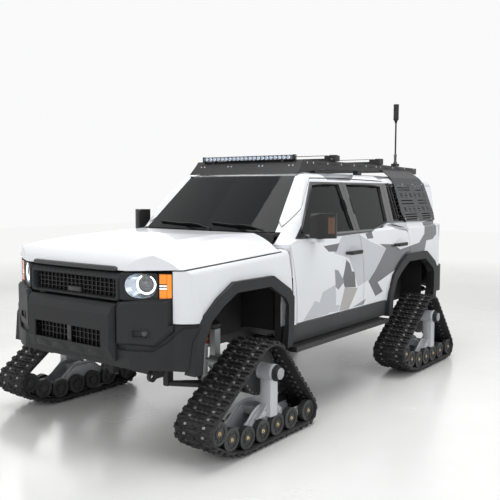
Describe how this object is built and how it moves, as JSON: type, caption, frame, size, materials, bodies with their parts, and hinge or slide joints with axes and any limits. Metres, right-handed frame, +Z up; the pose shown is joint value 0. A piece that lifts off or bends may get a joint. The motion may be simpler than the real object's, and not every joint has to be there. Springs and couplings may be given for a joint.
{
  "type": "tracked suv",
  "caption": "Sport utility vehicle that runs on triangular rubber track units, with opening doors, bonnet and tailgate, a roof rack, a light bar and a ski carrier.",
  "frame": {"origin": "on the ground under the middle of the overall length and width", "axes": "+X forward, +Y to the left of the vehicle, +Z up"},
  "size_m": [4.925, 2.45, 2.761],
  "materials": {
    "body_paint": "satin white with angular grey camouflage patches",
    "glass": "dark tinted",
    "charcoal_plastic": "fine grained charcoal",
    "lamp_lens": "clear lens over black bezel",
    "tail_lens": "red lens",
    "rack_metal": "black powder coat",
    "frame_metal": "black chassis paint",
    "tank_plastic": "black moulded",
    "seat_fabric": "dark woven",
    "cabin_trim": "dark grained",
    "track_rubber": "black moulded rubber",
    "track_paint": "pale grey powder coat",
    "wheel_plastic": "dark grey moulded",
    "sprocket_plastic": "black moulded"
  },
  "bodies": {
    "vehicle": {"antenna": "rack_metal", "chassis_frame": "frame_metal", "dashboard": "cabin_trim", "engine": "frame_metal", "exhaust": "frame_metal", "floor_pan": "frame_metal", "front_bumper": "charcoal_plastic", "front_dampers": "frame_metal", "front_fender_left": "body_paint", "front_fender_right": "body_paint", "front_seats": "seat_fabric", "front_suspension_arms": "frame_metal", "fuel_tank": "tank_plastic", "gearbox": "frame_metal", "grille": "charcoal_plastic", "headlights": "lamp_lens", "light_bar": "lamp_lens", "quarter_windows": "glass", "rear_axle": "frame_metal", "rear_bench": "seat_fabric", "rear_bumper": "charcoal_plastic", "rear_track_belts": "track_rubber", "rear_track_frames": "track_paint", "rear_track_sprockets": "sprocket_plastic", "rear_track_wheels": "wheel_plastic", "roof_panel": "body_paint", "roof_rack": "rack_metal", "running_boards": "charcoal_plastic", "side_frame_left": "body_paint", "side_frame_right": "body_paint", "side_panels": "rack_metal", "ski_carrier": "rack_metal", "tail_lamps": "tail_lens", "wheel_arch_flares": "charcoal_plastic", "windscreen": "glass"},
    "front_door_left": {"front_door_left": "body_paint", "front_door_left_glass": "glass"},
    "front_door_right": {"front_door_right": "body_paint", "front_door_right_glass": "glass"},
    "rear_door_left": {"rear_door_left": "body_paint", "rear_door_left_glass": "glass"},
    "rear_door_right": {"rear_door_right": "body_paint", "rear_door_right_glass": "glass"},
    "bonnet": {"bonnet": "body_paint"},
    "tailgate": {"tailgate": "body_paint", "tailgate_glass": "glass"},
    "steering_wheel": {"steering_wheel": "cabin_trim"},
    "front_left_track": {"front_left_knuckle": "frame_metal", "front_left_track_belt": "track_rubber", "front_left_track_frame": "track_paint", "front_left_track_sprocket": "sprocket_plastic", "front_left_track_wheels": "wheel_plastic"},
    "front_right_track": {"front_right_knuckle": "frame_metal", "front_right_track_belt": "track_rubber", "front_right_track_frame": "track_paint", "front_right_track_sprocket": "sprocket_plastic", "front_right_track_wheels": "wheel_plastic"},
    "door_mirror_left": {"door_mirror_left": "charcoal_plastic"},
    "door_mirror_right": {"door_mirror_right": "charcoal_plastic"}
  },
  "joints": [
    {"name": "front_door_left_hinge", "type": "hinge", "parent": "vehicle", "child": "front_door_left", "pos_m": [1.0115, 0.953, 1], "axis": [0, 0, -1], "range_deg": [0, 65]},
    {"name": "front_door_right_hinge", "type": "hinge", "parent": "vehicle", "child": "front_door_right", "pos_m": [1.0115, -0.953, 1], "axis": [0, 0, 1], "range_deg": [0, 65]},
    {"name": "rear_door_left_hinge", "type": "hinge", "parent": "vehicle", "child": "rear_door_left", "pos_m": [-0.1355, 0.953, 1], "axis": [0, 0, -1], "range_deg": [0, 68]},
    {"name": "rear_door_right_hinge", "type": "hinge", "parent": "vehicle", "child": "rear_door_right", "pos_m": [-0.1355, -0.953, 1], "axis": [0, 0, 1], "range_deg": [0, 68]},
    {"name": "bonnet_hinge", "type": "hinge", "parent": "vehicle", "child": "bonnet", "pos_m": [1.1125, 0, 1.385], "axis": [0, -1, 0], "range_deg": [0, 48]},
    {"name": "tailgate_hinge", "type": "hinge", "parent": "vehicle", "child": "tailgate", "pos_m": [-2.0375, 0, 1.96], "axis": [0, 1, 0], "range_deg": [0, 80]},
    {"name": "steer_left", "type": "hinge", "parent": "vehicle", "child": "front_left_track", "pos_m": [1.5725, 0.62, 0.526], "axis": [0, 0, 1], "range_deg": [-25, 25]},
    {"name": "steer_right", "type": "hinge", "parent": "vehicle", "child": "front_right_track", "pos_m": [1.5725, -0.62, 0.526], "axis": [0, 0, 1], "range_deg": [-25, 25]},
    {"name": "steering_wheel_turn", "type": "hinge", "parent": "vehicle", "child": "steering_wheel", "pos_m": [0.4425, 0.38, 1.325], "axis": [-0.9063, 0, 0.4226], "range_deg": [-375, 375]},
    {"name": "mirror_left_fold", "type": "hinge", "parent": "front_door_left", "child": "door_mirror_left", "pos_m": [0.6755, 0.991, 1.5], "axis": [0, 0, -1], "range_deg": [-55, 0]},
    {"name": "mirror_right_fold", "type": "hinge", "parent": "front_door_right", "child": "door_mirror_right", "pos_m": [0.6755, -0.991, 1.5], "axis": [0, 0, 1], "range_deg": [-55, 0]}
  ],
  "couplings": [
    {"joint": "steer_right", "follows": "steer_left", "ratio": 1},
    {"joint": "steering_wheel_turn", "follows": "steer_left", "ratio": 15}
  ]
}
